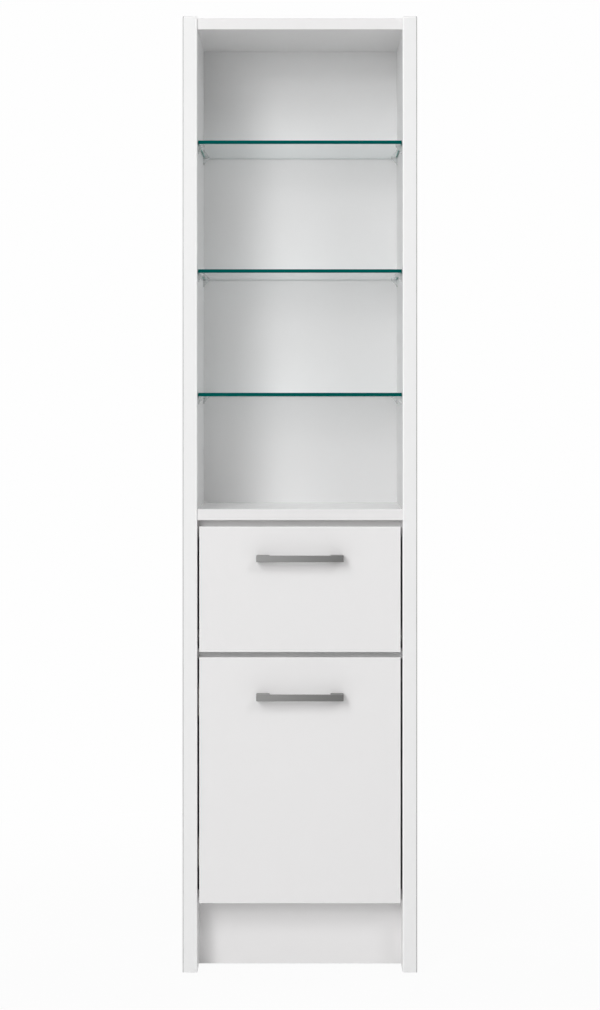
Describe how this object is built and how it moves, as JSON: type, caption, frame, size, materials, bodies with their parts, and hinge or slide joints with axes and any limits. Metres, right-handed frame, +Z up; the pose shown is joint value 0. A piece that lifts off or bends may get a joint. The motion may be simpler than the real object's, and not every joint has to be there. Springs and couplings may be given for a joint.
{
  "type": "tall bathroom cabinet",
  "caption": "Tall white bathroom cabinet with open glass shelves above a roller-runner drawer and a hinged cupboard door, with flat brushed bar handles and a set-back kick plate.",
  "frame": {"origin": "on the floor, under the middle of the bounding box, handles included", "axes": "+X to the right of someone facing the front, +Y to the back, +Z up"},
  "size_m": [0.4, 0.3294, 1.65],
  "materials": {
    "white_board": "satin white melamine",
    "back_board": "matt white hardboard",
    "shelf_glass": "clear, green at the ground edges",
    "clear_plastic": "clear",
    "handle_metal": "brushed along its length",
    "zinc_steel": "zinc plated",
    "nickel_steel": "nickel plated",
    "runner_steel": "white epoxy coating",
    "roller_nylon": "satin nylon",
    "cam_zinc": "die cast",
    "dowel_beech": "raw beech",
    "glide_plastic": "matt black",
    "catch_plastic": "matt white"
  },
  "bodies": {
    "cabinet": {"back_panel": "back_board", "back_panel_screws": "zinc_steel", "bottom_panel": "white_board", "cabinet_roller_axles": "zinc_steel", "cabinet_runner_left": "runner_steel", "cabinet_runner_right": "runner_steel", "cabinet_runner_screws": "zinc_steel", "cam_bolts": "zinc_steel", "cam_locks": "cam_zinc", "cupboard_shelf": "white_board", "cupboard_shelf_pins": "zinc_steel", "divider_panel": "white_board", "dowels": "dowel_beech", "drawer_rail": "white_board", "fixed_shelf": "white_board", "glass_shelf_lower": "shelf_glass", "glass_shelf_middle": "shelf_glass", "glass_shelf_upper": "shelf_glass", "glass_supports_lower": "clear_plastic", "glass_supports_middle": "clear_plastic", "glass_supports_upper": "clear_plastic", "glides": "glide_plastic", "hinge_arm_lower": "nickel_steel", "hinge_arm_upper": "nickel_steel", "hinge_plate_lower": "nickel_steel", "hinge_plate_upper": "nickel_steel", "hinge_screws": "nickel_steel", "kick_plate": "white_board", "magnetic_catch": "catch_plastic", "side_panel_left": "white_board", "side_panel_right": "white_board", "top_panel": "white_board", "wall_bracket": "zinc_steel", "wall_bracket_screws": "zinc_steel"},
    "drawer": {"drawer_back": "white_board", "drawer_bottom": "back_board", "drawer_cam_bolts": "zinc_steel", "drawer_cam_locks": "cam_zinc", "drawer_dowels": "dowel_beech", "drawer_front": "white_board", "drawer_handle": "handle_metal", "drawer_handle_screws": "zinc_steel", "drawer_roller_axles": "zinc_steel", "drawer_runner_left": "runner_steel", "drawer_runner_right": "runner_steel", "drawer_runner_screws": "zinc_steel", "drawer_side_left": "white_board", "drawer_side_right": "white_board"},
    "door": {"catch_plate": "zinc_steel", "door_handle": "handle_metal", "door_handle_screws": "zinc_steel", "door_panel": "white_board", "door_screws": "nickel_steel", "hinge_cup_lower": "nickel_steel", "hinge_cup_upper": "nickel_steel", "hinge_pins": "nickel_steel"},
    "cabinet_roller_left": {"cabinet_roller_left": "roller_nylon"},
    "cabinet_roller_right": {"cabinet_roller_right": "roller_nylon"},
    "drawer_roller_left": {"drawer_roller_left": "roller_nylon"},
    "drawer_roller_right": {"drawer_roller_right": "roller_nylon"}
  },
  "joints": [
    {"name": "drawer_slide", "type": "slide", "parent": "cabinet", "child": "drawer", "axis": [0, -1, 0], "range_m": [0, 0.19]},
    {"name": "door_swing", "type": "hinge", "parent": "cabinet", "child": "door", "pos_m": [-0.1565, -0.12625, 0.3305], "axis": [0, 0, -1], "range_deg": [0, 95]},
    {"name": "cabinet_roller_left_spin", "type": "hinge", "parent": "cabinet", "child": "cabinet_roller_left", "pos_m": [-0.1696, -0.10125, 0.5737], "axis": [1, 0, 0], "range_deg": [0, 1281]},
    {"name": "cabinet_roller_right_spin", "type": "hinge", "parent": "cabinet", "child": "cabinet_roller_right", "pos_m": [0.1696, -0.10125, 0.5737], "axis": [1, 0, 0], "range_deg": [0, 1281]},
    {"name": "drawer_roller_left_spin", "type": "hinge", "parent": "drawer", "child": "drawer_roller_left", "pos_m": [-0.1679, 0.12375, 0.5758], "axis": [1, 0, 0], "range_deg": [0, 1281]},
    {"name": "drawer_roller_right_spin", "type": "hinge", "parent": "drawer", "child": "drawer_roller_right", "pos_m": [0.1679, 0.12375, 0.5758], "axis": [1, 0, 0], "range_deg": [0, 1281]}
  ],
  "couplings": [
    {"joint": "cabinet_roller_left_spin", "follows": "drawer_slide", "rad_per_m": 117.65},
    {"joint": "cabinet_roller_right_spin", "follows": "drawer_slide", "rad_per_m": 117.65},
    {"joint": "drawer_roller_left_spin", "follows": "drawer_slide", "rad_per_m": 117.65},
    {"joint": "drawer_roller_right_spin", "follows": "drawer_slide", "rad_per_m": 117.65}
  ]
}
